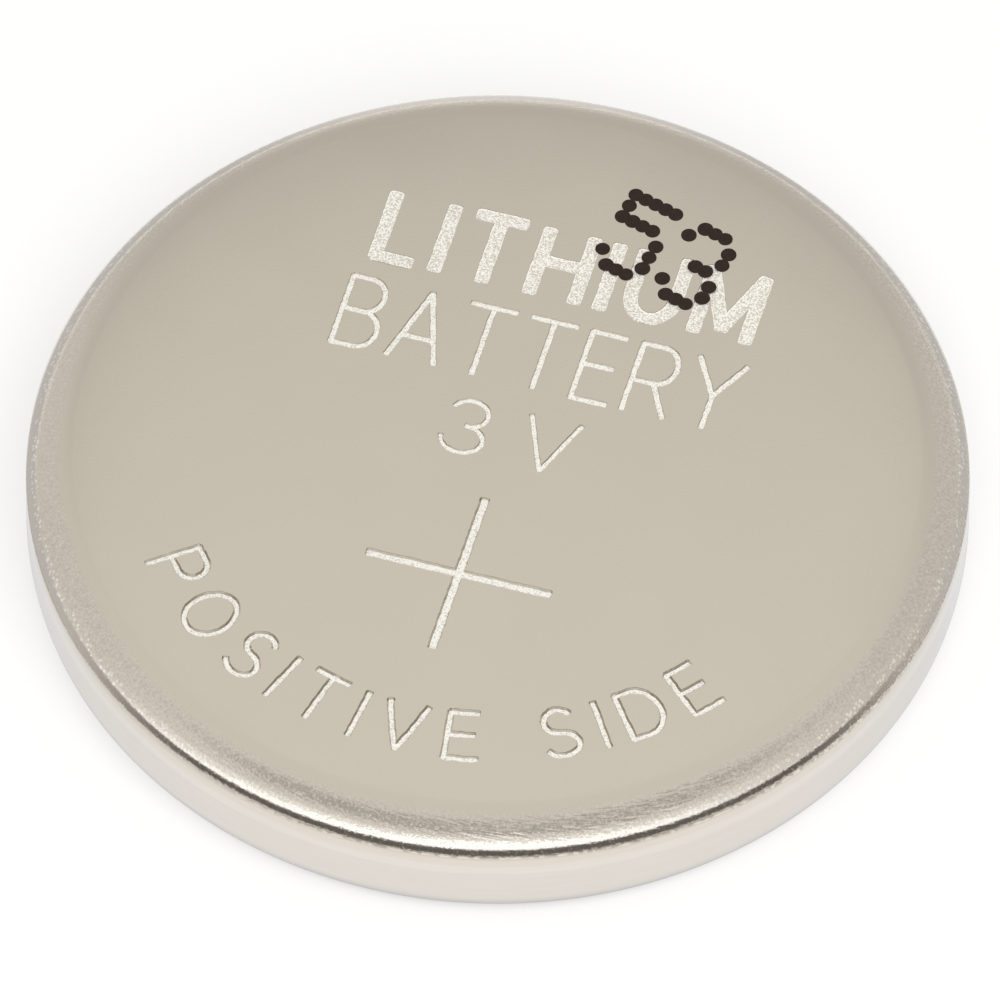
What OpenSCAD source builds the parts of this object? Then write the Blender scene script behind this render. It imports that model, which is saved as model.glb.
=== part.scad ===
// Lithium coin cell, 20 mm across and 3.2 mm thick, lying with its positive can upward.
// The origin is the middle of the negative contact face, which the cell rests on, and +Z points to
// the positive face. Every piece is a body of revolution about Z, so each is drawn as a half section
// with the radius along x and the height along y. Lengths are in millimetres and angles in degrees.

/* [Cell] */
// Outside diameter of the finished cell
cell_diameter = 20; // [18:0.1:26]
// Height from the negative contact face to the positive contact face
cell_height = 3.2; // [2.6:0.1:5.6]

/* [Positive can] */
// Sheet thickness of the can
can_wall = 0.25; // [0.15:0.01:0.35]
// Outside radius of the soft roll around the positive face
can_roll_radius = 1.3; // [0.9:0.05:1.5]
// Angle that the roll turns before a crisp edge ends it at the side wall
can_roll_angle = 62; // [50:1:72]
// Height of the crimped rim above the negative contact face
crimp_rise = 0.2; // [0.1:0.02:0.4]
// Angle that the crimped rim turns inward
crimp_angle = 82; // [70:1:88]

/* [Negative cap] */
// Sheet thickness of the cap
cap_wall = 0.25; // [0.15:0.01:0.35]
// Width of the ledge between the raised pan and the outside of the skirt
cap_ledge = 1.2; // [1:0.05:1.8]
// Outside bend radius around the negative contact face
cap_face_bend = 0.4; // [0.36:0.01:0.45]
// Outside bend radius in the groove at the foot of the pan
cap_groove_bend = 0.12; // [0.05:0.01:0.16]
// Outside bend radius where the ledge turns into the skirt
cap_shoulder_bend = 0.45; // [0.36:0.01:0.55]

/* [Sealing gasket] */
// Thickness of the gasket between the can and the cap
gasket_wall = 0.3; // [0.2:0.01:0.4]
// Thickness of the gasket under the end of the cap's skirt
gasket_foot = 0.3; // [0.2:0.01:0.4]
// Thickness of the short wall inside the cap's skirt
gasket_inner_wall = 0.25; // [0.15:0.01:0.4]
// Height of the short wall along the cap's skirt
gasket_inner_height = 0.5; // [0.2:0.05:0.7]
// Reach of the lip inward from the middle of the cap's shoulder bend
gasket_lip = 0.35; // [0.2:0.01:0.4]

/* [Electrodes] */
// Radial room between the lithium disc and the wall of the cap's pan
anode_margin = 0.35; // [0.2:0.05:0.8]
// Thickness of the separator
separator_thickness = 0.15; // [0.05:0.01:0.3]
// Radial room between the separator and the cap's skirt
separator_margin = 0.45; // [0.3:0.05:0.8]
// Radial room between the cathode pellet and the gasket
cathode_margin = 0.9; // [0.2:0.05:1.5]
// Sheet thickness of the collector ring
collector_wall = 0.12; // [0.08:0.01:0.2]
// Height of the collector ring along the side of the pellet
collector_height = 0.8; // [0.4:0.05:1]
// Width of the collector ring's flange against the positive can
collector_flange = 1.4; // [0.8:0.05:2.5]

/* [Fit] */
// Gap left between pieces that seat on each other
seat_gap = 0.01; // [0:0.005:0.03]

/* [Hidden] */
$fn = 128;
// Overrun of every cut
overrun = 1;
quarter_turn = 90;

// Colours of the pieces
nickel_plate = [0.77, 0.74, 0.68];
nickel_cap = [0.74, 0.72, 0.68];
dark_polymer = [0.20, 0.20, 0.21];
lithium_metal = [0.72, 0.74, 0.76];
white_fibre = [0.93, 0.93, 0.91];
manganese_black = [0.10, 0.10, 0.11];
stainless = [0.62, 0.62, 0.63];

// Radii of the nested walls, from the outside inward
can_r = cell_diameter / 2;
can_inner_r = can_r - can_wall;
gasket_r = can_inner_r - seat_gap;
skirt_r = gasket_r - gasket_wall - seat_gap;
skirt_inner_r = skirt_r - cap_wall;
gasket_inner_r = skirt_inner_r - seat_gap - gasket_inner_wall;
pan_r = skirt_r - cap_ledge;

// The crimp, the gasket's lip and the cap's shoulder bend share one centre
gasket_lip_inner_bend = cap_shoulder_bend + seat_gap;
gasket_lip_outer_bend = gasket_lip_inner_bend + gasket_wall;
crimp_inner_bend = gasket_lip_outer_bend + seat_gap;
crimp_outer_bend = crimp_inner_bend + can_wall;
crimp_r = skirt_r - cap_shoulder_bend;
crimp_z = crimp_rise + crimp_outer_bend * sin(crimp_angle);

// The can's face and the middle of its roll, which the inside of the can shares
can_floor_z = cell_height - can_wall;
roll_start_r = can_r - can_roll_radius * sin(can_roll_angle);
roll_z = cell_height - can_roll_radius;
can_inner_roll = can_roll_radius - can_wall;

// The cap's ledge, and the end of its skirt on the gasket's foot inside the can's roll
ledge_z = crimp_z - cap_shoulder_bend;
ledge_inner_z = ledge_z + cap_wall;
roll_over_skirt_z = roll_z + sqrt(pow(can_inner_roll, 2) - pow(skirt_r - roll_start_r, 2));
foot_z = roll_over_skirt_z - seat_gap - gasket_foot;
skirt_end_z = foot_z - seat_gap;

// The stack of electrodes from the cap's pan up to the can
anode_z = cap_wall + seat_gap;
anode_r = pan_r - cap_wall - anode_margin;
separator_z = ledge_inner_z + seat_gap;
separator_r = skirt_inner_r - separator_margin;
cathode_z = separator_z + separator_thickness + seat_gap;
cathode_top_z = can_floor_z - seat_gap;
cathode_r = gasket_inner_r - cathode_margin;

// Rectangle of a half section
module strip(inner_r, outer_r, low_z, high_z) {
    translate([inner_r, low_z]) square([outer_r - inner_r, high_z - low_z]);
}

// Sheet bent around the origin of a half section, through a quarter turn or less
module bend(outer, inner, from, to) {
    reach = 2 * outer;
    intersection() {
        difference() {
            circle(outer);
            if (inner > 0) circle(inner);
        }
        polygon([[0, 0], reach * [cos(from), sin(from)], reach * [cos(to), sin(to)]]);
    }
}

// Filled half section of a cup with its floor upward and a soft roll around the floor
module cup_section(wall_r, floor_z, roll, rim_z) {
    intersection() {
        strip(0, wall_r, rim_z, floor_z + overrun);
        union() {
            strip(0, roll_start_r, roll_z, floor_z);
            translate([roll_start_r, roll_z]) bend(roll, 0, 0, quarter_turn);
            strip(0, roll_start_r + roll, rim_z - overrun, roll_z);
        }
    }
}

// Drawn steel can: positive face, soft roll, side wall and the rim crimped over the gasket
module positive_can() {
    color(nickel_plate) rotate_extrude() {
        difference() {
            cup_section(can_r, cell_height, can_roll_radius, crimp_z);
            cup_section(can_inner_r, can_floor_z, can_inner_roll, crimp_z - overrun);
        }
        translate([crimp_r, crimp_z]) bend(crimp_outer_bend, crimp_inner_bend, -crimp_angle, 0);
    }
}

// Pressed steel cap: contact face on a raised pan, groove, ledge, shoulder and skirt
module negative_cap() {
    face_r = pan_r - cap_face_bend;
    groove_r = pan_r + cap_groove_bend;
    groove_z = ledge_z - cap_groove_bend;
    color(nickel_cap) rotate_extrude() {
        strip(0, face_r, 0, cap_wall);
        translate([face_r, cap_face_bend]) bend(cap_face_bend, cap_face_bend - cap_wall, -quarter_turn, 0);
        strip(pan_r - cap_wall, pan_r, cap_face_bend, groove_z);
        translate([groove_r, groove_z])
            bend(cap_groove_bend + cap_wall, cap_groove_bend, quarter_turn, 2 * quarter_turn);
        strip(groove_r, crimp_r, ledge_z, ledge_inner_z);
        translate([crimp_r, crimp_z]) bend(cap_shoulder_bend, cap_shoulder_bend - cap_wall, -quarter_turn, 0);
        strip(skirt_inner_r, skirt_r, crimp_z, skirt_end_z);
    }
}

// Moulded ring with a channel for the cap's skirt and a lip rolled over the cap's shoulder
module sealing_gasket() {
    nose = gasket_wall / 2;
    nose_r = crimp_r - gasket_lip + nose;
    lip_low_z = crimp_z - gasket_lip_outer_bend;
    color(dark_polymer) rotate_extrude() {
        intersection() {
            cup_section(gasket_r, cathode_top_z, can_inner_roll - seat_gap, crimp_z);
            union() {
                strip(gasket_r - gasket_wall, gasket_r, crimp_z, cell_height);
                strip(gasket_inner_r, gasket_r, foot_z, cell_height);
                strip(gasket_inner_r, gasket_inner_r + gasket_inner_wall, foot_z - gasket_inner_height,
                      cell_height);
            }
        }
        translate([crimp_r, crimp_z]) bend(gasket_lip_outer_bend, gasket_lip_inner_bend, -quarter_turn, 0);
        strip(nose_r, crimp_r, lip_low_z, lip_low_z + gasket_wall);
        translate([nose_r, lip_low_z + nose]) circle(nose);
    }
}

// Lithium metal disc, pressed into the cap's pan flush with the ledge
module lithium_anode() {
    color(lithium_metal) translate([0, 0, anode_z])
        cylinder(r = anode_r, h = ledge_inner_z - anode_z);
}

// Non-woven disc that keeps the electrodes apart
module separator() {
    color(white_fibre) translate([0, 0, separator_z])
        cylinder(r = separator_r, h = separator_thickness);
}

// Half section of the collector ring, grown by a clearance on its inside
module collector_section(clearance) {
    strip(cathode_r - collector_flange - clearance, cathode_r, cathode_top_z - collector_wall - clearance,
          cathode_top_z);
    strip(cathode_r - collector_wall - clearance, cathode_r, cathode_top_z - collector_height - clearance,
          cathode_top_z);
}

// Pressed manganese dioxide pellet with a rebate that holds the collector ring
module cathode_pellet() {
    color(manganese_black) rotate_extrude() difference() {
        strip(0, cathode_r, cathode_z, cathode_top_z);
        collector_section(seat_gap);
    }
}

// Stainless angle ring that joins the pellet to the can
module collector_ring() {
    color(stainless) rotate_extrude() collector_section(0);
}

positive_can();
negative_cap();
sealing_gasket();
lithium_anode();
separator();
cathode_pellet();
collector_ring();
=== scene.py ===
"""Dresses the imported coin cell.

It turns smooth shells, engraves the marks, prints the dots, and adds the finishes, a light tent and the camera.
"""
import math
import random

import bmesh
import bpy
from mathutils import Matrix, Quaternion, Vector


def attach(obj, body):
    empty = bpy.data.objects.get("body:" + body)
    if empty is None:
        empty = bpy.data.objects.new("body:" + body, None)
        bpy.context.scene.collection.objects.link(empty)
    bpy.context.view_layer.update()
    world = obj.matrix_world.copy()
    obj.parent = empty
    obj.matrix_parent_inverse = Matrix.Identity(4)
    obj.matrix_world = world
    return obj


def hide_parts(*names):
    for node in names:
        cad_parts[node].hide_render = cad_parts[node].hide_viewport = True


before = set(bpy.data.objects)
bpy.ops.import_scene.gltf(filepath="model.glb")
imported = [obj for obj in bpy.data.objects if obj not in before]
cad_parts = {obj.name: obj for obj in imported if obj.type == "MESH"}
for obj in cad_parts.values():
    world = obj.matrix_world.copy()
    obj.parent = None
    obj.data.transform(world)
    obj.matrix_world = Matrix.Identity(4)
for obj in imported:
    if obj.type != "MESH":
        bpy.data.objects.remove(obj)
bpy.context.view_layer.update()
scene = bpy.context.scene
scene.view_settings.view_transform = "Standard"

# Lengths of the cell's half section in millimetres, as in the part's source
MM = 0.001
CELL_R = 10.0
CELL_H = 3.2
ROLL_R = 1.3
ROLL_ANGLE = 62.0
SHEET = 0.25
ROLL_CENTRE = (CELL_R - ROLL_R * math.sin(math.radians(ROLL_ANGLE)), CELL_H - ROLL_R)
SEAT = 0.01
CRIMP_CENTRE = (8.98, 1.21007)
CRIMP_OUTER = 1.02
CRIMP_ANGLE = 82.0
LIP_OUTER = 0.76
LIP_INNER = 0.46
SHOULDER = 0.45
SKIRT_R = 9.43
PAN_R = 8.23
FACE_BEND = 0.4
GROOVE_BEND = 0.12
GASKET_R = 9.74
GASKET_WALL = 0.3
GASKET_FOOT_Z = 2.467
GASKET_INNER_R = 8.92
GASKET_INNER_WALL = 0.25
GASKET_INNER_HEIGHT = 0.5
GASKET_REACH = 0.35
# Roll angle at which the small radius of the can's crisp edge starts
EDGE_START = 61.0
# Slight crown of the face, from the radius where it starts to the slope at which the roll takes over
CROWN_START = 5.4
CROWN_SLOPE = 2.4
CROWN_STEPS = 14
# Width of the first flat ring of the contact face, around the disc on the axis
FLAT_RING = 0.2
TURN_SEGMENTS = 320

# Camera that the photograph was taken with, turned from the marks' reading direction
CAMERA_AZIMUTH = math.radians(16.08)
CAMERA_ELEVATION = math.radians(53.99)
CAMERA_DISTANCE = 0.7407
CAMERA_ROLL = math.radians(0.11)
CAMERA_SHIFT = (0.0023, -0.0005)
FOCAL_PIXELS = 34932.0
IMAGE_PIXELS = 1000.0
SENSOR = 36.0


class Value:
    """One output socket of a node. Arithmetic on it adds Math nodes to the same tree."""

    def __init__(self, tree, socket):
        self.tree = tree
        self.socket = socket

    def maths(self, operation, *terms):
        return self.tree.node("ShaderNodeMath", {"operation": operation}, dict(enumerate(terms)))

    def __add__(self, other):
        return self.maths("ADD", self, other)

    def __radd__(self, other):
        return self.maths("ADD", other, self)

    def __sub__(self, other):
        return self.maths("SUBTRACT", self, other)

    def __rsub__(self, other):
        return self.maths("SUBTRACT", other, self)

    def __mul__(self, other):
        return self.maths("MULTIPLY", self, other)

    def __rmul__(self, other):
        return self.maths("MULTIPLY", other, self)

    def __truediv__(self, other):
        return self.maths("DIVIDE", self, other)

    def __pow__(self, other):
        return self.maths("POWER", self, other)

    def __abs__(self):
        return self.maths("ABSOLUTE", self)

    def step(self, low, high):
        """Rises smoothly from 0 at low to 1 at high."""
        sockets = {"Value": self, "From Min": low, "From Max": high}
        return self.tree.node("ShaderNodeMapRange", {"interpolation_type": "SMOOTHSTEP"}, sockets)

    def band(self, low, high, feather):
        """Is 1 between low and high, and falls smoothly to 0 over the feather outside them."""
        return self.step(low - feather, low) * (1 - self.step(high, high + feather))

    def angle(self, ahead):
        """Angle in degrees whose tangent is this value over another."""
        return self.maths("ARCTAN2", self, ahead) * math.degrees(1)


class Tree:
    """A node tree, and the one method that adds any node to it."""

    def __init__(self, owner):
        owner.use_nodes = True
        self.owner = owner
        self.tree = owner.node_tree
        self.tree.nodes.clear()

    def node(self, kind, settings=None, sockets=None, output=0):
        made = self.tree.nodes.new(kind)
        for name, setting in (settings or {}).items():
            setattr(made, name, setting)
        for name, source in (sockets or {}).items():
            if isinstance(source, Value):
                self.tree.links.new(source.socket, made.inputs[name])
            else:
                made.inputs[name].default_value = source
        return Value(self, made.outputs[output])

    def millimetres(self):
        """The point on the surface in the part's own frame, in millimetres."""
        point = self.node("ShaderNodeTexCoord", output="Object")
        return self.node("ShaderNodeVectorMath", {"operation": "SCALE"}, {"Vector": point, "Scale": 1 / MM})

    def axes(self, vector):
        return [self.node("ShaderNodeSeparateXYZ", {}, {"Vector": vector}, axis) for axis in ("X", "Y", "Z")]

    def vector(self, x, y, z):
        return self.node("ShaderNodeCombineXYZ", {}, {"X": x, "Y": y, "Z": z})

    def noise(self, vector, scale, detail=2.0, roughness=0.5):
        sockets = {"Vector": vector, "Scale": scale, "Detail": detail, "Roughness": roughness}
        return self.node("ShaderNodeTexNoise", {"noise_dimensions": "3D"}, sockets)

    def mix(self, factor, first, second):
        """Mixes two colours."""
        settings = {"data_type": "RGBA", "blend_type": "MIX"}
        return self.node("ShaderNodeMix", settings, {"Factor": factor, 6: first, 7: second}, 2)

    def scaled(self, colour, factor):
        """A colour made lighter or darker by a factor."""
        vector = colour if isinstance(colour, Value) else colour[:3]
        return self.node("ShaderNodeVectorMath", {"operation": "SCALE"}, {"Vector": vector, "Scale": factor})

    def bump(self, height, depth):
        """Bumps of a depth in millimetres."""
        sockets = {"Height": height, "Distance": depth * MM, "Strength": 1.0}
        return self.node("ShaderNodeBump", {}, sockets)

    def glow(self, tint, level):
        """Light of its own, where level 1 of white shows as white."""
        return self.node("ShaderNodeEmission", {}, {"Color": self.scaled(tint, level)})

    def surface(self, shader):
        self.node_output("ShaderNodeOutputMaterial", shader)
        return self.owner

    def node_output(self, kind, shader):
        end = self.tree.nodes.new(kind)
        self.tree.links.new(shader.socket, end.inputs["Surface"])

    def principled(self, sockets):
        return self.surface(self.node("ShaderNodeBsdfPrincipled", {}, sockets))


def finish_named(name):
    return Tree(bpy.data.materials.new(name))


def colour(red, green, blue):
    return (red, green, blue, 1.0)


WHITE = colour(1.0, 1.0, 1.0)


def from_axis(x, y):
    """Distance of a point from the cell's axis."""
    return (x * x + y * y) ** 0.5


def direction(azimuth, elevation):
    """Direction from the cell to a place in the studio."""
    flat = math.cos(elevation)
    return Vector((math.sin(azimuth) * flat, -math.cos(azimuth) * flat, math.sin(elevation)))


# Half sections and turned shells


def bend(centre, radius, start, stop, steps):
    """Points of an arc in a half section, with angles in degrees from the outward direction."""
    points = []
    for step in range(steps + 1):
        angle = math.radians(start + (stop - start) * step / steps)
        points.append((centre[0] + radius * math.cos(angle), centre[1] + radius * math.sin(angle)))
    return points


def turned(name, section, closed):
    """Turns a half section about Z. An open section starts and ends with a flat disc on the axis."""
    shape = bmesh.new()
    rings = []
    for radius, height in section:
        ring = []
        for segment in range(TURN_SEGMENTS):
            angle = 2 * math.pi * segment / TURN_SEGMENTS
            place = Vector((radius * math.cos(angle), radius * math.sin(angle), height)) * MM
            ring.append(shape.verts.new(place))
        rings.append(ring)
    following = rings[1:] + rings[:1] if closed else rings[1:]
    for ring, after in zip(rings, following):
        for segment in range(TURN_SEGMENTS):
            beside = (segment + 1) % TURN_SEGMENTS
            shape.faces.new((ring[segment], ring[beside], after[beside], after[segment]))
    if not closed:
        shape.faces.new(rings[0])
        shape.faces.new(rings[-1])
    bmesh.ops.recalc_face_normals(shape, faces=shape.faces)
    return placed(name, shape)


def placed(name, shape):
    mesh = bpy.data.meshes.new(name)
    shape.to_mesh(mesh)
    shape.free()
    piece = bpy.data.objects.new(name, mesh)
    scene.collection.objects.link(piece)
    return piece


def smooth(piece, sharp_angle):
    mesh = piece.data
    mesh.polygons.foreach_set("use_smooth", [True] * len(mesh.polygons))
    mesh.set_sharp_from_angle(angle=math.radians(sharp_angle))


def can_section():
    """The can from the middle of its face, over the roll and the crisp edge, down the wall and back."""
    start = math.radians(EDGE_START)
    across = CELL_R - ROLL_CENTRE[0]
    edge_r = (across - ROLL_R * math.sin(start)) / (1 - math.sin(start))
    edge_centre = (CELL_R - edge_r, ROLL_CENTRE[1] + (ROLL_R - edge_r) * math.cos(start))
    inner_roll = ROLL_R - SHEET
    inner_r = CELL_R - SHEET
    inner_end = math.degrees(math.acos((inner_r - ROLL_CENTRE[0]) / inner_roll))
    crimp_inner = CRIMP_OUTER - SHEET
    # The crown falls with the fourth power of its share, and one arc joins its end to the crisp edge
    slope = math.radians(CROWN_SLOPE)
    lean = math.tan(slope) / 4
    edge_top_r = ROLL_CENTRE[0] + ROLL_R * math.sin(start)
    edge_top_z = ROLL_CENTRE[1] + ROLL_R * math.cos(start)
    arc_run = math.sin(start) - math.sin(slope)
    arc_fall = math.cos(slope) - math.cos(start)
    reach = arc_run / arc_fall
    crown_end = (edge_top_r - reach * (CELL_H - edge_top_z + lean * CROWN_START)) / (1 - reach * lean)
    crown_width = crown_end - CROWN_START
    crown_drop = lean * crown_width
    arc_r = (CELL_H - crown_drop - edge_top_z) / arc_fall
    arc_centre = (crown_end - arc_r * math.sin(slope), CELL_H - crown_drop - arc_r * math.cos(slope))
    section = []
    for step in range(CROWN_STEPS + 1):
        share = step / CROWN_STEPS
        section.append((CROWN_START + crown_width * share, CELL_H - crown_drop * share ** 4))
    section += bend(arc_centre, arc_r, 90 - CROWN_SLOPE, 90 - EDGE_START, steps=26)[1:]
    section += bend(edge_centre, edge_r, 90 - EDGE_START, 0, steps=6)[1:]
    section += bend(CRIMP_CENTRE, CRIMP_OUTER, 0, -CRIMP_ANGLE, steps=22)
    section += bend(CRIMP_CENTRE, crimp_inner, -CRIMP_ANGLE, 0, steps=12)
    section += bend(ROLL_CENTRE, inner_roll, inner_end, 90, steps=10)
    return section


def cap_section():
    """The cap from the middle of its contact face, up the pan, along the ledge and the skirt, and back."""
    face_centre = (PAN_R - FACE_BEND, FACE_BEND)
    groove_centre = (PAN_R + GROOVE_BEND, CRIMP_CENTRE[1] - SHOULDER - GROOVE_BEND)
    skirt_end_z = GASKET_FOOT_Z - SEAT
    section = [(face_centre[0] - FLAT_RING, 0.0)]
    section += bend(face_centre, FACE_BEND, -90, 0, steps=14)
    section += bend(groove_centre, GROOVE_BEND, 180, 90, steps=8)
    section += bend(CRIMP_CENTRE, SHOULDER, -90, 0, steps=10)
    section += [(SKIRT_R, skirt_end_z), (SKIRT_R - SHEET, skirt_end_z)]
    section += bend(CRIMP_CENTRE, SHOULDER - SHEET, 0, -90, steps=6)
    section += bend(groove_centre, GROOVE_BEND + SHEET, 90, 180, steps=8)
    section += bend(face_centre, FACE_BEND - SHEET, 0, -90, steps=6)
    return section


def gasket_section():
    """The gasket: outer wall, lip over the cap's shoulder, channel for the skirt and short inner wall."""
    nose = GASKET_WALL / 2
    lip_low_z = CRIMP_CENTRE[1] - LIP_OUTER
    nose_centre = (CRIMP_CENTRE[0] - GASKET_REACH + nose, lip_low_z + nose)
    roll = ROLL_R - SHEET - SEAT
    outer_end = math.degrees(math.acos((GASKET_R - ROLL_CENTRE[0]) / roll))
    inner_end = math.degrees(math.acos((GASKET_INNER_R - ROLL_CENTRE[0]) / roll))
    channel_r = GASKET_R - GASKET_WALL
    inner_face_r = GASKET_INNER_R + GASKET_INNER_WALL
    section = bend(CRIMP_CENTRE, LIP_OUTER, 0, -90, steps=12)
    section += bend(nose_centre, nose, -90, -270, steps=10)
    section += bend(CRIMP_CENTRE, LIP_INNER, -90, 0, steps=8)
    section += [(channel_r, GASKET_FOOT_Z), (inner_face_r, GASKET_FOOT_Z)]
    inner_wall_z = GASKET_FOOT_Z - GASKET_INNER_HEIGHT
    section += [(inner_face_r, inner_wall_z), (GASKET_INNER_R, inner_wall_z)]
    section += bend(ROLL_CENTRE, roll, inner_end, outer_end, steps=8)
    return section


# Engraved marks: a single-stroke alphabet, in cap heights, with the baseline at 0


def arc(centre_x, centre_y, half_width, half_height, start, stop):
    steps = max(6, int(abs(stop - start) / 10))
    points = []
    for step in range(steps + 1):
        angle = math.radians(start + (stop - start) * step / steps)
        points.append((centre_x + half_width * math.cos(angle), centre_y + half_height * math.sin(angle)))
    return points


BOWL = [(0, 1)] + arc(0.36, 0.73, 0.29, 0.27, 90, -90) + [(0, 0.46)]
# Width and strokes of each letter
LETTERS = {
    " ": (0.3, []),
    "A": (0.78, [[(0, 0), (0.39, 1)], [(0.39, 1), (0.78, 0)], [(0.13, 0.33), (0.65, 0.33)]]),
    "B": (0.66, [[(0, 0), (0, 1)], [(0, 1)] + arc(0.34, 0.76, 0.26, 0.24, 90, -90) + [(0, 0.52)],
                 [(0, 0.52)] + arc(0.36, 0.26, 0.3, 0.26, 90, -90) + [(0, 0)]]),
    "D": (0.72, [[(0, 0), (0, 1)], [(0, 1)] + arc(0.3, 0.5, 0.42, 0.5, 90, -90) + [(0, 0)]]),
    "E": (0.58, [[(0.56, 1), (0, 1)], [(0, 1), (0, 0)], [(0, 0), (0.58, 0)], [(0, 0.52), (0.5, 0.52)]]),
    "H": (0.74, [[(0, 0), (0, 1)], [(0.74, 0), (0.74, 1)], [(0, 0.52), (0.74, 0.52)]]),
    "I": (0.0, [[(0, 0), (0, 1)]]),
    "L": (0.56, [[(0, 1), (0, 0)], [(0, 0), (0.56, 0)]]),
    "M": (0.86, [[(0, 0), (0, 1)], [(0, 1), (0.43, 0.12)], [(0.43, 0.12), (0.86, 1)],
                 [(0.86, 1), (0.86, 0)]]),
    "O": (0.84, [arc(0.42, 0.5, 0.42, 0.5, 90, 270), arc(0.42, 0.5, 0.42, 0.5, 90, -90)]),
    "P": (0.65, [[(0, 0), (0, 1)], BOWL]),
    "R": (0.67, [[(0, 0), (0, 1)], BOWL, [(0.36, 0.46), (0.67, 0)]]),
    "S": (0.64, [arc(0.32, 0.75, 0.28, 0.25, 32, 270) + arc(0.32, 0.25, 0.31, 0.25, 90, -148)[1:]]),
    "T": (0.74, [[(0, 1), (0.74, 1)], [(0.37, 1), (0.37, 0)]]),
    "U": (0.72, [[(0, 1)] + arc(0.36, 0.36, 0.36, 0.36, 180, 360) + [(0.72, 1)]]),
    "V": (0.8, [[(0, 1), (0.4, 0)], [(0.4, 0), (0.8, 1)]]),
    "Y": (0.78, [[(0, 1), (0.39, 0.48)], [(0.78, 1), (0.39, 0.48)], [(0.39, 0.48), (0.39, 0)]]),
    "3": (0.66, [arc(0.32, 0.75, 0.29, 0.25, 158, -90), arc(0.32, 0.26, 0.33, 0.26, 90, -178)]),
}
# Depth of the strokes in the words and the voltage, and in the plus sign and the legend
SHALLOW_MARK = 0.028
DEEP_MARK = 0.055
# Sides of a stroke: steep above and shallow at the floor, where broad strokes are shallower still
STEEP_SHARE = 0.6
STEEP_LEAN = 1 / math.tan(math.radians(61))
SHALLOW_LEAN = 1 / math.tan(math.radians(51))
BROAD_WIDTH = 0.2
BROAD_LEAN = 3.0
# Reach of a cutter above the face
MARK_OVERRUN = 0.02
# Wander of a stroke's sides, and the spacing of the points along it
UNEVEN = 0.009
STATION = 0.1
# Rounded corners of a stroke's end, past the end and aside, in half widths of the stroke
STROKE_END = ((0.25, 0.98), (0.48, 0.8), (0.56, 0.45), (0.56, -0.45), (0.48, -0.8), (0.25, -0.98))
wander = random.Random(20)


def spaced(points, spacing):
    """Points along a line of points, evenly spaced."""
    walked = [points[0]]
    for first, second in zip(points, points[1:]):
        length = math.dist(first, second)
        count = max(1, round(length / spacing))
        for step in range(1, count + 1):
            share = step / count
            x = first[0] + (second[0] - first[0]) * share
            y = first[1] + (second[1] - first[1]) * share
            walked.append((x, y))
    return walked


def outline(points, half_width):
    """Closed outline of a stroke with round ends and the slightly uneven sides of an engraved line."""
    left = []
    right = []
    for index, point in enumerate(points):
        before = Vector(points[max(index - 1, 0)])
        after = Vector(points[min(index + 1, len(points) - 1)])
        along = (after - before).normalized()
        across = Vector((-along.y, along.x))
        left.append(Vector(point) + across * (half_width + wander.uniform(-UNEVEN, UNEVEN)))
        right.append(Vector(point) - across * (half_width + wander.uniform(-UNEVEN, UNEVEN)))
    last_end = end_cap(points[-2], points[-1], half_width)
    first_end = end_cap(points[1], points[0], half_width)
    return left + last_end + right[::-1] + first_end


def end_cap(inside, end, half_width):
    """Nearly square end of a stroke with rounded corners."""
    along = (Vector(end) - Vector(inside)).normalized()
    across = Vector((-along.y, along.x))
    points = []
    for reach, aside in STROKE_END:
        points.append(Vector(end) + (along * reach + across * aside) * half_width)
    return points


def cutter(points, width, depth):
    """Solid that cuts one stroke into the face, with a wall that is steep above and shallow at the floor."""
    steep_depth = STEEP_SHARE * depth
    shallow = (depth - steep_depth) * SHALLOW_LEAN * (BROAD_LEAN if width > BROAD_WIDTH else 1)
    steep = (steep_depth + MARK_OVERRUN) * STEEP_LEAN
    levels = (
        (CELL_H - depth, width / 2),
        (CELL_H - steep_depth, width / 2 + shallow),
        (CELL_H + MARK_OVERRUN, width / 2 + shallow + steep),
    )
    shape = bmesh.new()
    state = wander.getstate()
    loops = []
    for height, half_width in levels:
        wander.setstate(state)
        loops.append([shape.verts.new(Vector((p.x, p.y, height)) * MM) for p in outline(points, half_width)])
    for low, high in zip(loops, loops[1:]):
        for index in range(len(low)):
            beside = (index + 1) % len(low)
            shape.faces.new((low[index], low[beside], high[beside], high[index]))
    shape.faces.new(loops[0])
    shape.faces.new(loops[-1])
    bmesh.ops.recalc_face_normals(shape, faces=shape.faces)
    return placed("stroke", shape)


def text_strokes(text, height, length, narrow):
    """Strokes of a row of letters that fills a length, from its left end on the baseline, in millimetres."""
    widths = sum(LETTERS[letter][0] for letter in text) * height * narrow
    gap = (length - widths) / (len(text) - 1)
    strokes = []
    left = 0.0
    for letter in text:
        width, lines = LETTERS[letter]
        for line in lines:
            strokes.append(spaced([(left + x * height * narrow, y * height) for x, y in line], STATION))
        left += width * height * narrow + gap
    return strokes


def row(text, left, right, low, high, width, narrow, depth):
    """Cutters of a straight row of letters."""
    strokes = text_strokes(text, high - low, right - left, narrow)
    return [cutter([(left + x, low + y) for x, y in stroke], width, depth) for stroke in strokes]


def legend(text, foot_r, top_r, start, stop, width, narrow, depth):
    """Cutters of letters along an arc, with their tops towards the middle of the face."""
    middle_r = (foot_r + top_r) / 2
    strokes = text_strokes(text, foot_r - top_r, math.radians(stop - start) * middle_r, narrow)
    cutters = []
    for stroke in strokes:
        points = []
        for x, y in stroke:
            angle = math.radians(start) + x / middle_r
            radius = foot_r - y
            points.append((radius * math.cos(angle), radius * math.sin(angle)))
        cutters.append(cutter(points, width, depth))
    return cutters


def plus_sign(centre, arm, width, depth):
    x, y = centre
    lines = ([(x - arm, y), (x + arm, y)], [(x, y - arm), (x, y + arm)])
    return [cutter(spaced(line, STATION), width, depth) for line in lines]


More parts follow.
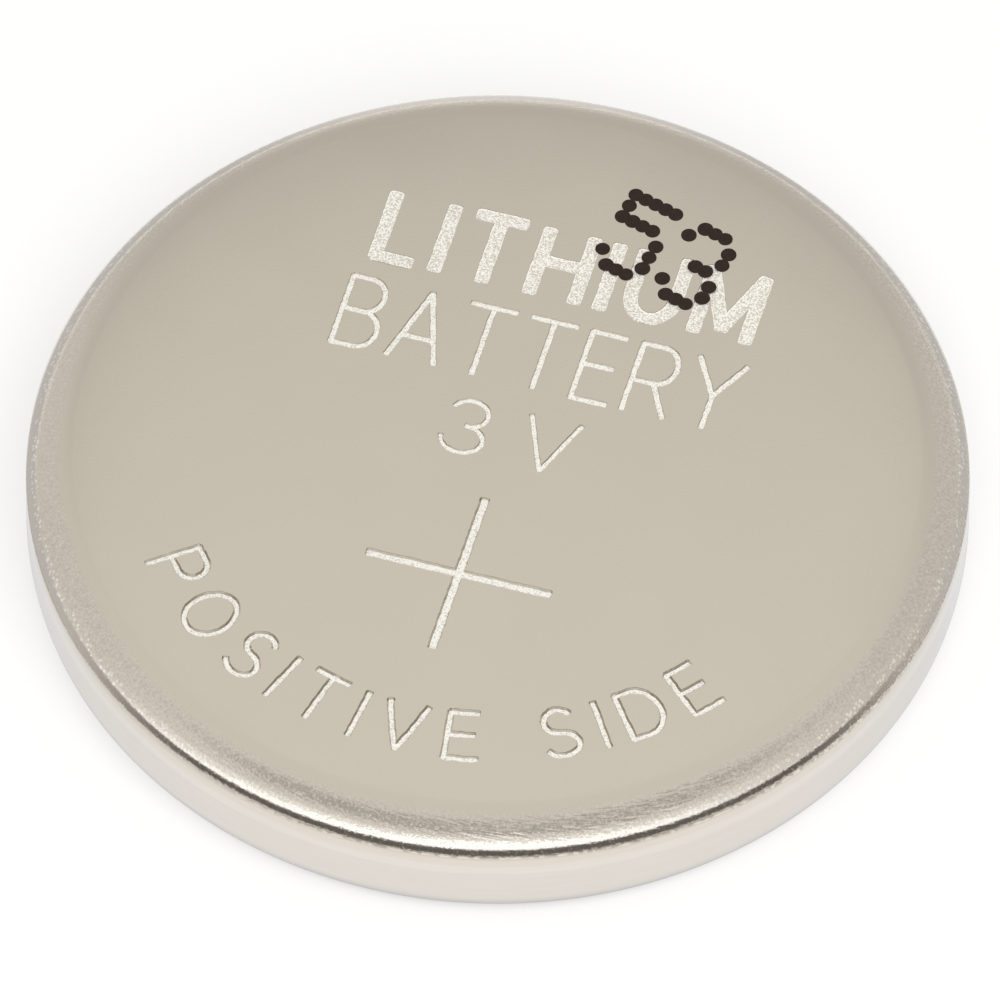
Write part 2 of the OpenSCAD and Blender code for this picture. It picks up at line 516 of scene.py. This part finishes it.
def engrave(plate, cutters):
    """Cuts the strokes into a plate, and deletes the cutters."""
    group = bpy.data.collections.new("strokes")
    for tool in cutters:
        group.objects.link(tool)
    cut = plate.modifiers.new("engraving", "BOOLEAN")
    cut.operation = "DIFFERENCE"
    cut.solver = "MANIFOLD"
    cut.operand_type = "COLLECTION"
    cut.collection = group
    apply_modifiers(plate)
    for tool in cutters:
        bpy.data.meshes.remove(tool.data)
    bpy.data.collections.remove(group)


def apply_modifiers(piece):
    evaluated = piece.evaluated_get(bpy.context.evaluated_depsgraph_get())
    mesh = bpy.data.meshes.new_from_object(evaluated)
    plain = piece.data
    piece.modifiers.clear()
    piece.data = mesh
    bpy.data.meshes.remove(plain)
    mesh.name = piece.name


# Printed dots: two plain digits on a coarse grid, as a dot printer leaves them
DOT_R = 0.165
DOT_SPREAD = (0.95, 1.05)
DOT_HEIGHT = 0.012
DOT_SEGMENTS = 20
# Shares of the radius and the height, from the foot, which is sunk in the face, to the top
DOT_DOME = ((1.0, -0.2), (1.0, 0.45), (0.9, 0.75), (0.66, 0.95))
# Steps of the slanted grid from column to column and from line to line
DOT_COLUMN = (0.2385, -0.066)
DOT_LINE = (0.057, 0.314)
DIGIT_COLUMNS = 6
TOP_LINE = 6
DOT_DIGITS = {
    "5": ("#####", "#....", "####.", "....#", "....#", "#...#", ".###."),
    "3": (".###.", "#...#", "....#", "..##.", "....#", "#...#", ".###."),
}


def dot(shape, x, y, radius):
    """Low domed dot of ink on the face."""
    rings = []
    for share, lift in DOT_DOME:
        ring = []
        for segment in range(DOT_SEGMENTS):
            angle = 2 * math.pi * segment / DOT_SEGMENTS
            dot_x = x + radius * share * math.cos(angle)
            dot_y = y + radius * share * math.sin(angle)
            ring.append(shape.verts.new(Vector((dot_x, dot_y, CELL_H + DOT_HEIGHT * lift)) * MM))
        rings.append(ring)
    for ring, after in zip(rings, rings[1:]):
        for segment in range(DOT_SEGMENTS):
            beside = (segment + 1) % DOT_SEGMENTS
            shape.faces.new((ring[segment], ring[beside], after[beside], after[segment]))
    shape.faces.new(rings[-1])
    shape.faces.new(rings[0][::-1])


def printed_number(text, left, low):
    """Dots of a number, from the place of its lowest dot on the left."""
    shape = bmesh.new()
    for place, digit in enumerate(text):
        for line, pattern in enumerate(DOT_DIGITS[digit]):
            for column, sign in enumerate(pattern):
                if sign == "#":
                    across = place * DIGIT_COLUMNS + column
                    up = TOP_LINE - line
                    x = left + across * DOT_COLUMN[0] + up * DOT_LINE[0]
                    y = low + across * DOT_COLUMN[1] + up * DOT_LINE[1]
                    dot(shape, x, y, DOT_R * wander.uniform(*DOT_SPREAD))
    return placed("printed_dots", shape)


# Finishes, whose noise scales are per millimetre
FACE_NICKEL = colour(0.76, 0.705, 0.62)
FINE_DARK = colour(0.70, 0.665, 0.59)
BROAD_DARK = colour(0.68, 0.64, 0.56)
# Keeps a distance from the axis above 0 where it divides
OFF_AXIS = 0.0001
# Place of the strongest drawing streaks, from the marks' reading direction
STREAK_PATCH = math.radians(30)


def face_finish():
    """Satin nickel plate of the positive face, faintly clouded."""
    made = finish_named("face_nickel")
    point = made.millimetres()
    cloud = made.noise(point, scale=0.45, detail=1.0)
    grain = made.noise(point, scale=20.0, detail=0.0)
    return made.principled({
        "Base Color": made.scaled(FACE_NICKEL, 0.96 + 0.06 * cloud + 0.02 * grain),
        "Metallic": 1.0,
        "Roughness": 0.17 + 0.05 * cloud,
        "Normal": made.bump(grain, 0.0004),
    })


def roll_finish():
    """Bright nickel of the roll, with the grain and streaks that drawing leaves, painted glints, a painted
    highlight band at the front and painted shade along the crisp edge.

    Tilt is the angle in degrees over the roll, from 0 at the face to 62 at the crisp edge.
    """
    made = finish_named("roll_nickel")
    point = made.millimetres()
    x, y, z = made.axes(point)
    radius = from_axis(x, y)
    tilt = (radius - ROLL_CENTRE[0]).angle(z - ROLL_CENTRE[1])
    rolled = tilt.step(14.0, 27.0)
    grain = made.noise(point, scale=17.0, detail=1.0)
    speck = grain.step(0.6, 0.7)
    toward_patch = (x * math.sin(STREAK_PATCH) - y * math.cos(STREAK_PATCH)) / radius
    along_rim = (x * math.cos(STREAK_PATCH) + y * math.sin(STREAK_PATCH)) / radius
    slanted = radius * 9.0 - along_rim * 12.0
    streak_place = made.vector(x / radius * 9.0, y / radius * 9.0, slanted)
    streak = made.noise(streak_place, scale=2.0, detail=1.0, roughness=0.6)
    patch = 0.25 + 0.75 * toward_patch.step(0.9, 0.99)
    worked = 0.35 + 0.65 * toward_patch.step(-0.8, 0.2)
    quiet = tilt.step(44.0, 51.0) * (0.8 - 0.4 * along_rim.step(0.45, 0.75))
    grainy = worked * rolled * (1 - quiet)
    drawn = patch * tilt.band(24.0, 38.0, 6.0)
    # Bright flecks in the base colour, thickest beside the crisp edge, are painted glints that stand in for
    # reflections of the light
    fleck = made.node("ShaderNodeTexVoronoi", {}, {"Vector": point, "Scale": 9.0}, "Distance")
    beside_edge = tilt.band(45.5, 51.0, 3.0)
    glint_fleck = 1 - (fleck - 0.12 * beside_edge).step(0.15, 0.29)
    painted_glint = glint_fleck * rolled * (0.25 + 0.75 * beside_edge)
    # The brighter band beside the crisp edge, on the front of the roll towards the camera, is a painted
    # highlight
    painted_highlight_band = tilt.band(45.0, 52.0, 3.5) * (toward_patch - 0.35 * along_rim).step(0.6, 1.0)
    satin = made.mix(rolled, FACE_NICKEL, colour(0.755, 0.70, 0.635))
    nickel = made.mix(painted_highlight_band, satin, colour(0.94, 0.89, 0.82))
    plate = made.mix(painted_glint * 0.9, nickel, colour(1.0, 0.965, 0.9))
    streaked = drawn * 0.5 + grainy * patch * 0.15
    height = grain * (0.01 + 0.16 * grainy) + speck * (grainy * 0.06) + streak * streaked
    # The darkening along the crisp edge, ragged by noise at the front, is painted shade
    shade_ragging = made.noise(point, scale=7.0, detail=2.0).step(0.4, 0.62)
    front = toward_patch.step(0.5, 0.9)
    painted_edge_shade = tilt.step(58.5, 60.5) * (0.18 + front * (0.32 * shade_ragging - 0.12))
    return made.principled({
        "Base Color": made.scaled(plate, (1.0 + 0.5 * grainy * (grain - 0.5)) * (1 - painted_edge_shade)),
        "Metallic": 1.0,
        "Roughness": 0.19 - 0.09 * rolled + 0.04 * grain,
        "Normal": made.bump(height, 0.03),
    })


def wall_finish():
    """Smoother nickel of the side wall: faint drawn lines, a painted highlight band a little below the top, and
    a warmer band under the crisp edge darkened as painted shade.
    """
    made = finish_named("wall_nickel")
    point = made.millimetres()
    x, y, z = made.axes(point)
    radius = from_axis(x, y) + OFF_AXIS
    line_place = made.vector(x / radius * 6.0, y / radius * 6.0, z * 16.0)
    lines = made.noise(line_place, scale=1.0, detail=2.0, roughness=0.6)
    # Darker at the top, under the crisp edge, is painted shade, and the brighter band a little lower is a
    # painted highlight
    painted_edge_shade = 0.12 * z.step(2.38, 2.5)
    drawn = (0.96 + 0.08 * lines + 0.05 * z.band(2.02, 2.14, 0.14)) * (1 - painted_edge_shade)
    plate = made.mix(z.step(2.15, 2.4), colour(0.72, 0.678, 0.63), colour(0.72, 0.67, 0.59))
    return made.principled({
        "Base Color": made.scaled(plate, drawn),
        "Specular Tint": colour(0.89, 0.905, 0.935),
        "Metallic": 1.0,
        "Roughness": 0.12 + 0.08 * lines,
        "Normal": made.bump(lines, 0.0015),
    })


def frost_finish(name, dark, white_from, white_to):
    """Pale frosted floor of an engraved stroke: white grains on a darker ground."""
    made = finish_named(name)
    point = made.millimetres()
    speckle = made.noise(point, scale=25.0, detail=1.0, roughness=0.6)
    bright = speckle.step(white_from, white_to)
    return made.principled({
        "Base Color": made.mix(bright, dark, colour(0.99, 0.975, 0.94)),
        "Metallic": 0.0,
        "Roughness": 0.8 - 0.25 * bright,
        "Normal": made.bump(speckle, 0.02),
    })


def painted_shade_edge_finish():
    """Nickel on the steep edges of the engraved strokes, darkened as painted shade."""
    made = finish_named("painted_shade_edge")
    grain = made.noise(made.millimetres(), scale=12.0, detail=1.0)
    return made.principled({
        "Base Color": made.scaled(colour(0.55, 0.50, 0.425), 0.7 + 0.6 * grain),
        "Metallic": 1.0,
        "Roughness": 0.2 + 0.1 * grain,
    })


def cap_finish():
    """Satin nickel of the pressed cap, with fine turned lines and a little grain."""
    made = finish_named("cap_nickel")
    point = made.millimetres()
    x, y, _ = made.axes(point)
    radius = from_axis(x, y) + OFF_AXIS
    cloud = made.noise(point, scale=0.5, detail=3.0)
    grain = made.noise(point, scale=14.0, detail=3.0, roughness=0.6)
    line_place = made.vector(x / radius * 3.0, y / radius * 3.0, radius * 14.0)
    lines = made.noise(line_place, scale=1.5, detail=2.0)
    plate = made.mix(cloud, colour(0.70, 0.66, 0.59), colour(0.76, 0.72, 0.65))
    return made.principled({
        "Base Color": made.scaled(plate, 0.96 + 0.08 * grain),
        "Metallic": 1.0,
        "Roughness": 0.2 + 0.1 * cloud,
        "Normal": made.bump(grain * 0.25 + lines * 0.3, 0.02),
    })


def gasket_finish():
    """Dark moulded polymer."""
    made = finish_named("gasket_polymer")
    point = made.millimetres()
    grain = made.noise(point, scale=9.0, detail=3.0)
    return made.principled({
        "Base Color": made.mix(grain, colour(0.022, 0.022, 0.024), colour(0.05, 0.05, 0.053)),
        "Roughness": 0.42 + 0.16 * grain,
        "Normal": made.bump(grain, 0.01),
    })


def ink_finish():
    """Dried brown-black printing ink."""
    made = finish_named("printing_ink")
    point = made.millimetres()
    blot = made.noise(point, scale=9.0, detail=3.0)
    return made.principled({
        "Base Color": made.mix(blot, colour(0.018, 0.010, 0.008), colour(0.042, 0.027, 0.022)),
        "Roughness": 0.5 + 0.2 * blot,
        "Specular IOR Level": 0.2,
        "Normal": made.bump(blot, 0.006),
    })


def lithium_finish():
    """Soft rolled lithium, dulled in clouds."""
    made = finish_named("lithium_sheet")
    point = made.millimetres()
    x, y, z = made.axes(point)
    cloud = made.noise(point, scale=0.7, detail=4.0)
    rolled = made.noise(made.vector(x * 0.6, y * 9.0, z), scale=1.0, detail=3.0)
    return made.principled({
        "Base Color": made.mix(cloud, colour(0.42, 0.43, 0.44), colour(0.66, 0.67, 0.68)),
        "Metallic": 1.0,
        "Roughness": 0.35 + 0.25 * cloud,
        "Normal": made.bump(rolled, 0.01),
    })


def separator_finish():
    """White non-woven fibre, crossed in two directions."""
    made = finish_named("separator_fibre")
    point = made.millimetres()
    x, y, z = made.axes(point)
    along = made.noise(made.vector(x * 2.0, y * 16.0, z), scale=1.0, detail=3.0)
    across = made.noise(made.vector(x * 14.0, y * 2.5, z), scale=1.0, detail=3.0)
    fibre = 0.5 * along + 0.5 * across
    return made.principled({
        "Base Color": made.mix(fibre, colour(0.74, 0.74, 0.71), colour(0.93, 0.93, 0.91)),
        "Roughness": 0.85 + 0.1 * fibre,
        "Normal": made.bump(fibre, 0.03),
    })


def pellet_finish():
    """Pressed black powder."""
    made = finish_named("cathode_powder")
    point = made.millimetres()
    powder = made.noise(point, scale=11.0, detail=4.0, roughness=0.7)
    return made.principled({
        "Base Color": made.mix(powder, colour(0.010, 0.010, 0.011), colour(0.045, 0.043, 0.043)),
        "Roughness": 0.75 + 0.2 * powder,
        "Normal": made.bump(powder, 0.03),
    })


def collector_finish():
    """Stainless strip with fine rolling lines round the ring."""
    made = finish_named("collector_steel")
    point = made.millimetres()
    x, y, z = made.axes(point)
    radius = from_axis(x, y) + OFF_AXIS
    line_place = made.vector(x / radius * 2.0, y / radius * 2.0, radius * 10.0 + z * 9.0)
    lines = made.noise(line_place, scale=1.5, detail=3.0)
    return made.principled({
        "Base Color": made.mix(lines, colour(0.48, 0.48, 0.48), colour(0.63, 0.63, 0.63)),
        "Metallic": 1.0,
        "Roughness": 0.22 + 0.12 * lines,
        "Normal": made.bump(lines, 0.01),
    })


# Bounds of the can's regions: the broad marks from this y up, all marks within this radius, the least
# heights of the face and of the roll, and the share of a mark's depth below which a polygon is sunk
BROAD_MARKS_FROM = 4.2
MARKS_WITHIN = 8.15
FACE_FROM = 3.1
ROLL_FROM = 2.49
SUNK_SHARE = 0.7
# Upward share of a normal above which a polygon counts as level, and as exactly flat
LEVEL_FACE = 0.95
FLAT_FACE = 0.9999999


def can_region(face):
    """Name of the finish that a polygon of the can takes."""
    radius = math.hypot(face.center.x, face.center.y) / MM
    height = face.center.z / MM
    if height > FACE_FROM and radius < ROLL_CENTRE[0]:
        level = face.normal.z > LEVEL_FACE
        sunk = radius < MARKS_WITHIN and height < CELL_H - SUNK_SHARE * SHALLOW_MARK
        if sunk and face.center.y > BROAD_MARKS_FROM * MM:
            return "broad" if level else "fine"
        if level:
            return "fine" if sunk else "face"
        return "edge"
    rolled = height > ROLL_FROM and radius >= ROLL_CENTRE[0] and face.normal.z > 0
    return "roll" if rolled else "wall"


# Camera
toward = direction(CAMERA_AZIMUTH, CAMERA_ELEVATION)
camera = bpy.data.objects.new("camera", bpy.data.cameras.new("camera"))
camera.data.sensor_width = SENSOR
camera.data.lens = SENSOR * FOCAL_PIXELS / IMAGE_PIXELS
camera.data.shift_x, camera.data.shift_y = CAMERA_SHIFT
camera.location = Vector((0, 0, CELL_H / 2 * MM)) + toward * CAMERA_DISTANCE
camera.rotation_mode = "QUATERNION"
camera.rotation_quaternion = (-toward).to_track_quat("-Z", "Y") @ Quaternion((0, 0, 1), CAMERA_ROLL)
scene.collection.objects.link(camera)
scene.camera = camera

# Pieces
can = turned("can_shell", can_section(), closed=False)
marks = row("LITHIUM", left=-3.97, right=4.2, low=4.33, high=6.0, width=0.26, narrow=0.8, depth=SHALLOW_MARK)
marks += row("BATTERY", left=-4.25, right=4.45, low=1.9, high=3.7, width=0.112, narrow=0.74, depth=SHALLOW_MARK)
marks += row("3 V", left=-1.3, right=1.5, low=-0.15, high=1.22, width=0.092, narrow=1.0, depth=SHALLOW_MARK)
marks += plus_sign(centre=(0.065, -3.187), arm=1.99, width=0.15, depth=DEEP_MARK)
marks += legend(
    "POSITIVE SIDE", foot_r=7.93, top_r=6.74, start=217.0, stop=323.0,
    width=0.098, narrow=0.95, depth=DEEP_MARK,
)
engrave(can, marks)
can.data.materials.clear()
can_finishes = {
    "wall": wall_finish(),
    "face": face_finish(),
    "roll": roll_finish(),
    "fine": frost_finish("fine_frost", FINE_DARK, white_from=0.33, white_to=0.49),
    "broad": frost_finish("broad_frost", BROAD_DARK, white_from=0.42, white_to=0.56),
    "edge": painted_shade_edge_finish(),
}
for finish in can_finishes.values():
    can.data.materials.append(finish)
finish_order = list(can_finishes)
for face in can.data.polygons:
    face.material_index = finish_order.index(can_region(face))
smooth(can, sharp_angle=24)
for face in can.data.polygons:
    if face.normal.z > FLAT_FACE:
        face.use_smooth = False
cap = turned("cap_shell", cap_section(), closed=False)
cap.data.materials.append(cap_finish())
smooth(cap, sharp_angle=35)
gasket = turned("gasket_ring", gasket_section(), closed=True)
gasket.data.materials.append(gasket_finish())
smooth(gasket, sharp_angle=35)
ink = printed_number("53", left=0.575, low=5.518)
ink.data.materials.append(ink_finish())
smooth(ink, sharp_angle=50)

for piece, node in ((can, "positive_can"), (cap, "negative_cap"), (gasket, "sealing_gasket")):
    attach(piece, "root")
    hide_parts(node)
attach(ink, "root")

inner_finishes = {
    "lithium_anode": lithium_finish(),
    "separator": separator_finish(),
    "cathode_pellet": pellet_finish(),
    "collector_ring": collector_finish(),
}
for node, finish in inner_finishes.items():
    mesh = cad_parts[node].data
    mesh.materials.clear()
    mesh.materials.append(finish)

# Studio: a white floor inside a small light tent, in metres and degrees
TENT_R = 0.12
TENT_FOOT = -1
SOFTBOX_R = 0.116
SOFTBOX_FOOT = 9.0
SOFTBOX_TOP = 33.0
SOFTBOX_PEAK = -5
SOFTBOX_ARCH = 1.2
SOFTBOX_REACH = 112
# Bearing of the softbox's brightest place
SOFTBOX_BRIGHTEST = -16.0
CARD_R = 0.0135
CARD_HANG = 0.0029
CARD_LOW = 0.0025
CARD_RISE = 0.00145
# Distance within which corners of a studio sheet are one
SAME_PLACE = 0.000001
FLOOR_SIZE = 2.0
# Keeps the floor just under the contact face
FLOOR_DROP = 0.00001
# Lamp that lights the matt surfaces, from the right of the camera
LAMP_BEARING = math.radians(12)
LAMP_ELEVATION = math.radians(50)
LAMP_DISTANCE = 0.1
LAMP_SIZE = 0.06
LAMP_POWER = 0.043


def floor_finish():
    """White floor whose own glow ends under the cell in a painted shadow, a little farther out where the metal
    mirrors it.
    """
    made = finish_named("floor_white")
    x, y, _ = made.axes(made.millimetres())
    radius = from_axis(x, y)
    # The glow falls off near the cell as a painted contact shadow, for the camera and for reflections
    camera_glow_with_painted_shadow = 0.2 + 0.8 * radius.step(8.9, 9.6)
    mirror_glow_with_painted_shadow = 0.2 + 0.8 * radius.step(8.9, 10.4)
    camera_ray = made.node("ShaderNodeLightPath", output="Is Camera Ray")
    glossy_ray = made.node("ShaderNodeLightPath", output="Is Glossy Ray")
    seen = camera_ray * camera_glow_with_painted_shadow + glossy_ray * mirror_glow_with_painted_shadow
    diffuse = made.node("ShaderNodeBsdfDiffuse", {}, {"Color": colour(0.42, 0.42, 0.42)})
    return made.surface(made.node("ShaderNodeAddShader", {}, {0: diffuse, 1: made.glow(WHITE, seen * 0.63)}))


def studio_place(made):
    """Where a point of the tent is seen from the cell: its share to the right, its share up, and its bearing.

    The bearing is in degrees from the camera's side, to the right.
    """
    point = made.node("ShaderNodeTexCoord", output="Object")
    x, y, up = made.axes(made.node("ShaderNodeVectorMath", {"operation": "NORMALIZE"}, {"Vector": point}))
    sine = math.sin(CAMERA_AZIMUTH)
    cosine = math.cos(CAMERA_AZIMUTH)
    side = x * cosine + y * sine
    return side, up, side.angle(x * sine - y * cosine)


def tent_finish():
    """Even light of the tent, with a brighter panel over the far side and a darker place by the camera."""
    made = finish_named("tent_light")
    side, up, turn = studio_place(made)
    elevation = up.maths("ARCSINE", up) * math.degrees(1)
    bearing = abs(turn)
    sides = 0.70 - 0.05 * side.step(-0.35, 0.35) + 0.1 * (1 - bearing.step(60.0, 110.0))
    back = 0.58 + 0.16 * (1 - elevation.step(2.0, 24.0)) * bearing.step(150.0, 178.0)
    around = sides + (back - sides) * bearing.step(138.0, 165.0)
    domed = around + (0.755 - around) * elevation.step(46.0, 62.0)
    panel = elevation.step(49.0, 56.5) * (1 - elevation.step(62.0, 72.0)) * bearing.step(159.0, 173.0)
    by_camera = elevation.step(40.0, 53.0) * (1 - elevation.step(58.0, 75.0)) * (1 - bearing.step(50.0, 95.0))
    level = domed + (0.81 - domed) * panel - 0.27 * by_camera
    return made.surface(made.glow(colour(1.0, 0.985, 0.93), level))


def softbox_finish():
    """White light of the softbox, brightest a little to the left and fading towards its two ends."""
    made = finish_named("softbox_light")
    _, _, turn = studio_place(made)
    from_brightest = abs(turn - SOFTBOX_BRIGHTEST)
    return made.surface(made.glow(WHITE, 0.88 + 0.32 * (1 - from_brightest.step(32.0, 82.0))))


def card_finish():
    """Grey of the low card ring: dark in front, middle grey at the sides, pale behind."""
    made = finish_named("card_grey")
    _, _, turn = studio_place(made)
    bearing = abs(turn)
    level = 0.13 + 0.48 * bearing.step(42.0, 78.0) + 0.21 * bearing.step(148.0, 176.0)
    tint = made.mix(bearing.step(35.0, 95.0), colour(1.0, 0.94, 0.87), WHITE)
    return made.surface(made.glow(tint, level))


def studio_sheet(name, columns, lines, place):
    """Sheet of quads whose corners come from two shares, across and up."""
    shape = bmesh.new()
    grid = []
    for line in range(lines + 1):
        ring = []
        for column in range(columns + 1):
            ahead, aside, up = place(column / columns, line / lines)
            turned_x = ahead * math.sin(CAMERA_AZIMUTH) + aside * math.cos(CAMERA_AZIMUTH)
            turned_y = -ahead * math.cos(CAMERA_AZIMUTH) + aside * math.sin(CAMERA_AZIMUTH)
            ring.append(shape.verts.new((turned_x, turned_y, up)))
        grid.append(ring)
    for low, high in zip(grid, grid[1:]):
        for column in range(columns):
            shape.faces.new((low[column], low[column + 1], high[column + 1], high[column]))
    bmesh.ops.remove_doubles(shape, verts=shape.verts, dist=SAME_PLACE)
    sheet = placed(name, shape)
    sheet.visible_camera = False
    return sheet


def tent_place(across, up):
    """Point of a dome over the cell."""
    bearing = math.radians(360 * across)
    elevation = math.radians(TENT_FOOT + (90 - TENT_FOOT) * up)
    flat = TENT_R * math.cos(elevation)
    return flat * math.cos(bearing), flat * math.sin(bearing), TENT_R * math.sin(elevation)


def eased(value, low, high):
    """Smooth rise from 0 at low to 1 at high."""
    share = min(max((value - low) / (high - low), 0.0), 1.0)
    return share * share * (3 - 2 * share)


def softbox_place(across, up):
    """Point of a low arched panel in front of the cell, which tapers to thin tails at its sides."""
    bearing = SOFTBOX_REACH * (2 * across - 1)
    foot = SOFTBOX_FOOT * (1 - eased(abs(bearing), 60, 110))
    from_peak = min(abs(bearing - SOFTBOX_PEAK) / SOFTBOX_REACH, 1)
    top = SOFTBOX_TOP * (1 - from_peak ** SOFTBOX_ARCH)
    elevation = math.radians(foot + max(top - foot, 0) * up)
    turn = math.radians(bearing)
    flat = SOFTBOX_R * math.cos(elevation)
    return flat * math.cos(turn), flat * math.sin(turn), SOFTBOX_R * math.sin(elevation)


def card_place(across, up):
    """Point of a low ring of card: it hangs in front, where it is highest, and stands on the floor behind."""
    bearing = 360 * across - 180
    foot = CARD_HANG * (1 - eased(abs(bearing), 30, 125))
    top = CARD_LOW + CARD_RISE * (1 - eased(abs(bearing), 12, 117))
    turn = math.radians(bearing)
    return CARD_R * math.cos(turn), CARD_R * math.sin(turn), foot + (top - foot) * up


def glow_only(sheet, finish):
    """Gives a studio sheet its light, which only reflections show."""
    finish.cycles.emission_sampling = "NONE"
    sheet.data.materials.append(finish)
    sheet.visible_diffuse = False
    sheet.visible_shadow = False


tent = studio_sheet("light_tent", columns=72, lines=30, place=tent_place)
tent_light = tent_finish()
tent_light.cycles.emission_sampling = "NONE"
tent.data.materials.append(tent_light)
softbox = studio_sheet("softbox", columns=80, lines=4, place=softbox_place)
glow_only(softbox, softbox_finish())
card = studio_sheet("card_ring", columns=120, lines=2, place=card_place)
glow_only(card, card_finish())

lamp_light = bpy.data.lights.new("lamp", "AREA")
lamp_light.shape = "DISK"
lamp_light.size = LAMP_SIZE
lamp_light.energy = LAMP_POWER
lamp = bpy.data.objects.new("lamp", lamp_light)
lamp_toward = direction(CAMERA_AZIMUTH + LAMP_BEARING, LAMP_ELEVATION)
lamp.location = lamp_toward * LAMP_DISTANCE
lamp.rotation_mode = "QUATERNION"
lamp.rotation_quaternion = (-lamp_toward).to_track_quat("-Z", "Y")
lamp.visible_camera = False
lamp.visible_glossy = False
scene.collection.objects.link(lamp)

floor_shape = bmesh.new()
bmesh.ops.create_grid(floor_shape, x_segments=1, y_segments=1, size=FLOOR_SIZE)
floor = placed("floor", floor_shape)
floor.location.z = -FLOOR_DROP
floor.data.materials.append(floor_finish())

world = bpy.data.worlds.new("studio_white")
scene.world = world
white = Tree(world)
backdrop = white.node("ShaderNodeBackground", {}, {"Color": WHITE, "Strength": 1.0})
white.node_output("ShaderNodeOutputWorld", backdrop)
